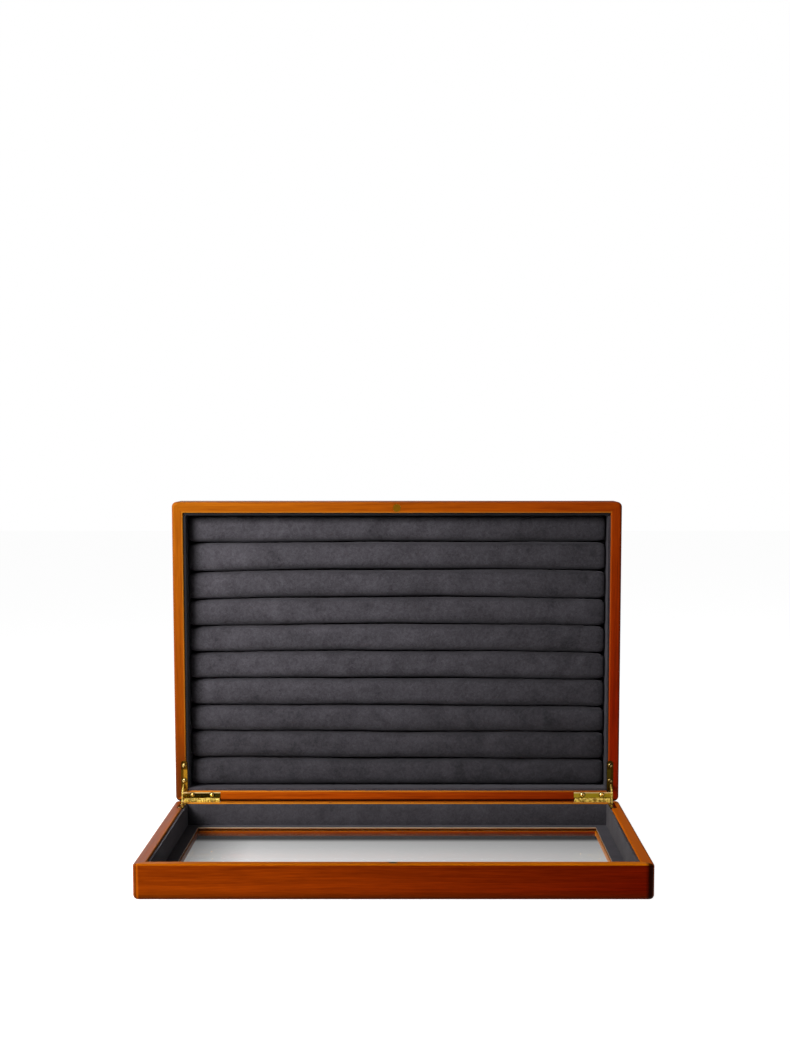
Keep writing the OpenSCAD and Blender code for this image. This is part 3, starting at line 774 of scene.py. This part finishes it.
def roll_rings(number):
    """Rings of a ring roll: a superellipsoid, long along X.

    Along the roll, x is the half length times the sine of an even angle, which packs stations
    at the ends. A ring's size there is the SECTION_POWER-th root of one less the END_POWER-th
    power of x over the half length. Round the ring, depth and height are the SECTION_POWER/2-th
    roots of the cosine and sine, with their signs, so the face is crowned and the long edges
    are round. The upper and lower sides follow the seams.
    """
    low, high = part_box(f"ring_roll_{number}")
    half = (high.x - low.x) / 2
    t = np.linspace(-math.pi / 2, math.pi / 2, ROLL_STATIONS)[1:-1]
    x = half * np.sin(t)
    size = (1 - np.abs(x / half) ** END_POWER) ** (1 / SECTION_POWER)
    top = high.z + seam_drift(number - 1, x, half) - SEAM_GAP - ROLL_SHRINK
    bottom = low.z + seam_drift(number, x, half) + SEAM_GAP + ROLL_SHRINK
    middle, reach = (top + bottom) / 2, (top - bottom) / 2 * size
    front, back = low.y + ROLL_SHRINK, high.y - 0.2 * MM
    depth = (back - front) / 2 * size
    angle = np.linspace(0, 2 * math.pi, ROLL_SPOKES, endpoint=False)
    power = 2 / SECTION_POWER
    out = np.sign(np.cos(angle)) * np.abs(np.cos(angle)) ** power
    up = np.sign(np.sin(angle)) * np.abs(np.sin(angle)) ** power
    return np.stack([
        np.repeat(x[:, None], ROLL_SPOKES, 1),
        (front + back) / 2 - depth[:, None] * out[None, :],
        middle[:, None] + reach[:, None] * up[None, :],
    ], -1)


def vertices_of(mesh):
    """A mesh's points, shape (count, 3)."""
    points = np.empty(len(mesh.vertices) * 3, np.float32)
    mesh.vertices.foreach_get("co", points)
    return points.reshape(-1, 3).astype(float)


def set_vertices(mesh, points):
    """Puts points in place of a mesh's own."""
    mesh.vertices.foreach_set("co", points.astype(np.float32).ravel())
    mesh.update()


def bake_modifiers(piece):
    """Puts a piece's evaluated mesh in place of its own and drops its modifiers."""
    evaluated = piece.evaluated_get(bpy.context.evaluated_depsgraph_get())
    mesh = bpy.data.meshes.new_from_object(evaluated)
    piece.modifiers.clear()
    piece.data = mesh
    mesh.polygons.foreach_set("use_smooth", np.ones(len(mesh.polygons), bool))


def inflate(pads):
    """Blows the pads up as cloth bags, all in one run, and keeps the result in their meshes.

    Each is remeshed first. A point that moved further than SWELL_CAP is drawn back to it.
    """
    for pad in pads:
        remesh = pad.modifiers.new("Remesh", "REMESH")
        remesh.mode = "VOXEL"
        remesh.voxel_size = VOXEL
        bake_modifiers(pad)
        cloth = pad.modifiers.new("Cloth", "CLOTH")
        cloth.settings.quality = 6
        cloth.settings.mass = 0.25
        cloth.settings.use_pressure = True
        cloth.settings.uniform_pressure_force = PRESSURE
        cloth.settings.effector_weights.gravity = 0.0
        cloth.point_cache.frame_start = 1
        cloth.point_cache.frame_end = SIM_FRAMES
    for step in range(1, SIM_FRAMES + 1):
        SCENE.frame_set(step)
    depsgraph = bpy.context.evaluated_depsgraph_get()
    for pad in pads:
        rest = vertices_of(pad.data)
        moved = vertices_of(pad.evaluated_get(depsgraph).data) - rest
        far = np.linalg.norm(moved, axis=1, keepdims=True)
        moved *= np.minimum(1.0, SWELL_CAP / np.maximum(far, 1e-9))
        pad.modifiers.clear()
        set_vertices(pad.data, rest + moved)
    SCENE.frame_set(1)


def pucker(pad, number):
    """Small dents in a roll's face, as foam has under cloth.

    The depth is a sum of three sine waves along the roll, two bent by a wave across it and one
    aslant. It fades out at the seams, as one less the square of the height over the half height,
    and the whole face is drawn back a little, to stay within the roll's place.
    """
    low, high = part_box(f"ring_roll_{number}")
    points = vertices_of(pad.data)
    x, z = points[:, 0], points[:, 2] - (low.z + high.z) / 2
    phase = 1.7 * number
    wave = (np.sin(x * 71 + phase + 2 * np.sin(z * 190 + phase))
            + 0.7 * np.sin(x * 157 + 2.3 * phase + 1.5 * np.sin(z * 260))
            + 0.4 * np.sin(x * 333 + 3.1 * phase + z * 400))
    fade = np.clip(1 - (z / ((high.z - low.z) / 2)) ** 2, 0, 1)
    on_face = points[:, 1] < (low.y + high.y) / 2
    points[:, 1] += np.where(on_face, PUCKER * wave * fade + FACE_BACK, 0.0)
    set_vertices(pad.data, points)


def ring_rolls():
    """The ten padded rolls."""
    pads = []
    for number in range(1, ROLLS + 1):
        points, faces = closed_tube(roll_rings(number))
        pads.append(new_piece(f"velvet_roll_{number}", points, faces, ROLL_VELVET))
    inflate(pads)
    for number, pad in enumerate(pads, 1):
        pucker(pad, number)
        finer = pad.modifiers.new("Subdivision", "SUBSURF")
        finer.levels = finer.render_levels = 1
        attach(pad, "tray")
        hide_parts(f"ring_roll_{number}", f"roll_foam_{number}")


def wrapped_board(node, body, cloth):
    """A wall lining: the CAD board with its edges rounded over, as cloth wraps them.

    It is thinnest along the wall axis, the axis across its rim left out. The points of the rim
    next to the rail are drawn back by RIM_SLANT, so that the rim falls away to it.
    """
    mesh = frame["nodes"][node].data.copy()
    mesh.name = node + "_wrapped"
    low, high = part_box(node)
    points = vertices_of(mesh)
    front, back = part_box(body + "_front_rail")[0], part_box(body + "_back_rail")[1]
    rim_axis, rim, into = (1, low.y, 1) if body == "tray" else (2, high.z, -1)
    thickness = np.array(high - low)
    thickness[rim_axis] = np.inf
    wall_axis = int(np.argmin(thickness))
    beyond = (low + high)[wall_axis] > (front + back)[wall_axis]
    outer = high[wall_axis] if beyond else low[wall_axis]
    at_rim = np.abs(points[:, rim_axis] - rim) < TOUCHING
    at_rail = np.abs(points[:, wall_axis] - outer) < TOUCHING
    points[at_rim & at_rail, rim_axis] += into * RIM_SLANT
    set_vertices(mesh, points)
    work = bmesh.new()
    work.from_mesh(mesh)
    bmesh.ops.remove_doubles(work, verts=work.verts, dist=0.001 * MM)
    bmesh.ops.dissolve_limit(work, angle_limit=math.radians(1), verts=work.verts,
                             edges=work.edges)
    work.to_mesh(mesh)
    work.free()
    mesh.materials.clear()
    mesh.materials.append(cloth)
    mesh.polygons.foreach_set("use_smooth", np.ones(len(mesh.polygons), bool))
    board = bpy.data.objects.new(mesh.name, mesh)
    SCENE.collection.objects.link(board)
    edge = board.modifiers.new("Wrapped edge", "BEVEL")
    edge.width = EDGE_WRAP
    edge.segments = 3
    edge.limit_method = "ANGLE"
    edge.harden_normals = True
    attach(board, body)
    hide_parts(node)


ring_rolls()
# Each lining wall's velvet; the darker and lighter copies are painted shade and painted light.
CLOTHS = {
    "lid": {"front": LID_VELVET, "back": LID_VELVET, "left": SHADED_VELVET, "right": LIT_VELVET},
    "tray": {"front": DIM_VELVET, "back": VELVET, "left": DIM_VELVET, "right": VELVET},
}
for half, walls in CLOTHS.items():
    for side, cloth in walls.items():
        wrapped_board(f"{half}_{side}_lining", half, cloth)


# ------------------------------------------------------------------ floor, light and camera

def seen_as_backdrop(tree):
    """One for camera, glossy and transmission rays, and nothing for diffuse ones."""
    path = add(tree, "ShaderNodeLightPath").outputs
    either = calc(tree, "MAXIMUM", path["Is Camera Ray"], path["Is Glossy Ray"])
    return calc(tree, "MAXIMUM", either, path["Is Transmission Ray"])


def floor():
    """A wide white floor that shows white and keeps the box's shadow.

    To the camera it is a steady white a little short of full, plus a share of its lit surface.
    Under the box and up to 200 mm behind it, it is the lit surface alone. Under the window its
    glow is painted light and shadow, and its lit surface shows nearly black: it glows less than
    outside, more so to the right, brighter towards the front, and darker towards the back and the
    left of the window's frame, as a painted shadow of the frame.
    """
    half = 6.0
    corners = [(-half, -half, 0), (half, -half, 0), (half, half, 0), (-half, half, 0)]
    made = bpy.data.materials.new("white_floor")
    made.use_nodes = True
    tree = made.node_tree
    tree.nodes.clear()
    place = split_coords(tree)
    front, back, side = CAD_BOX[0].y, CAD_BOX[1].y, CAD_BOX[1].x
    across = calc(tree, "ABSOLUTE", place["X"])
    beside = spread(tree, across, side - 14 * MM, side - 4 * MM, 1.0, 0.0)
    before = spread(tree, place["Y"], front + 4 * MM, front + 14 * MM)
    behind = spread(tree, place["Y"], back + 100 * MM, back + 200 * MM, 1.0, 0.0)
    near = product(tree, beside, before, behind)
    inside = spread(tree, place["Y"], WINDOW_BACK + 3 * MM, WINDOW_BACK + 2 * MM)
    in_lid = product(tree, near, inside)
    # the floor's painted glow under the window, with a painted shadow of the frame
    shade_end = WINDOW_BACK - 23 * MM
    from_back = spread(tree, place["Y"], WINDOW_BACK - 12 * MM, shade_end, 0.01, UNDER_GLASS)
    forward = spread(tree, place["Y"], shade_end, shade_end - 87 * MM, 1.0, 1.75)
    rightward = spread(tree, place["X"], -110 * MM, 150 * MM, 1.06, 0.68)
    from_left = spread(tree, place["X"], 3 * MM - WINDOW_SIDE, 45 * MM - WINDOW_SIDE, 0.4, 1.0)
    under_glass = product(tree, from_back, forward, rightward, from_left, in_lid)
    seen = seen_as_backdrop(tree)
    away = product(tree, seen, opposite(tree, near))
    lit = add(tree, "ShaderNodeBsdfDiffuse")
    paint = blend_colour(tree, away, FLOOR_NEAR, FLOOR_AWAY)
    paint = blend_colour(tree, product(tree, in_lid, seen), paint, FLOOR_IN_LID)
    feed(tree, lit.inputs["Color"], paint)
    white = add(tree, "ShaderNodeEmission")
    feed(tree, white.inputs["Strength"], weighted(tree, (away, FLOOR_GLOW), (seen, under_glass)))
    both = add(tree, "ShaderNodeAddShader")
    feed(tree, both.inputs[0], lit.outputs[0])
    feed(tree, both.inputs[1], white.outputs[0])
    feed(tree, add(tree, "ShaderNodeOutputMaterial").inputs[0], both.outputs[0])
    mesh = bpy.data.meshes.new("floor")
    mesh.from_pydata(corners, [], [(0, 1, 2, 3)])
    mesh.materials.append(made)
    plane = bpy.data.objects.new("floor", mesh)
    SCENE.collection.objects.link(plane)


def world():
    """White where the camera and glass see it, and a dim fill for everything else.

    In the gloss, the side behind the camera and the right-hand side are a darker room.
    """
    made = bpy.data.worlds.new("studio")
    SCENE.world = made
    made.use_nodes = True
    tree = made.node_tree
    tree.nodes.clear()
    path = add(tree, "ShaderNodeLightPath").outputs
    way = add(tree, "ShaderNodeSeparateXYZ")
    feed(tree, way.inputs[0], add(tree, "ShaderNodeTexCoord").outputs["Generated"])
    room = spread(tree, way.outputs["Y"], -0.5, 0.25, ROOM_DARK, 1.0)
    dusk = spread(tree, way.outputs["X"], -0.25, 0.1, 1.0, DUSK)
    glossy = product(tree, room, dusk, path["Is Glossy Ray"])
    seen = calc(tree, "MAXIMUM", path["Is Camera Ray"], path["Is Transmission Ray"])
    level = calc(tree, "MAXIMUM", calc(tree, "MAXIMUM", glossy, seen), FILL)
    back = add(tree, "ShaderNodeBackground")
    back.inputs["Color"].default_value = (1, 1, 1, 1)
    feed(tree, back.inputs["Strength"], level)
    tree.links.new(back.outputs[0], add(tree, "ShaderNodeOutputWorld").inputs[0])


def soft_box(name, place, target, size, power, beam=180):
    """An area lamp that faces its target. beam is the spread of its light, in degrees."""
    lamp = bpy.data.lights.new(name, "AREA")
    lamp.shape = "RECTANGLE"
    lamp.size, lamp.size_y = size
    lamp.energy = power
    lamp.spread = math.radians(beam)
    made = bpy.data.objects.new(name, lamp)
    made.location = place
    made.rotation_euler = (Vector(target) - Vector(place)).to_track_quat("-Z", "Y").to_euler()
    SCENE.collection.objects.link(made)


def camera():
    """The camera, fitted to the box's corners."""
    lens = bpy.data.cameras.new("camera")
    lens.sensor_fit = "AUTO"
    lens.sensor_width = SENSOR
    lens.lens = FOCAL_PX / FRAME_H * SENSOR
    lens.shift_x = (FRAME_W / 2 - AXIS_PX[0]) / FRAME_H
    lens.shift_y = (AXIS_PX[1] - FRAME_H / 2) / FRAME_H
    lens.clip_start, lens.clip_end = 0.05, 50.0
    made = bpy.data.objects.new("camera", lens)
    made.location = (CAMERA_X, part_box("lid_front_rail")[0].y - CAMERA_AHEAD, CAMERA_Z)
    made.rotation_euler = (math.pi / 2 - CAMERA_PITCH, 0, 0)
    SCENE.collection.objects.link(made)
    SCENE.camera = made


FLOOR_GLOW = 0.93
FLOOR_AWAY = (0.6, 0.6, 0.6, 1)
FLOOR_NEAR = (0.8, 0.8, 0.8, 1)
FLOOR_IN_LID = (0.02, 0.02, 0.02, 1)
UNDER_GLASS = 0.43                    # how bright the floor's painted glow is under the window
ROOM_DARK = 0.05                      # how bright the gloss shows what is behind the camera
DUSK = 0.02                           # and what is on the right
FILL = 0.08

floor()
world()
soft_box("key", (-0.60, -0.50, 0.50), (-0.2, 0.10, 0.24), (0.40, 0.40), 3.4, 90)
soft_box("top", (0.0, -0.1, 1.3), (0.0, 0.0, 0.0), (1.2, 1.2), 3.0)
soft_box("left", (-1.1, -0.45, 0.12), (-0.175, -0.13, 0.02), (0.15, 0.3), 0.5)
camera()
SCENE.view_settings.view_transform = "Standard"
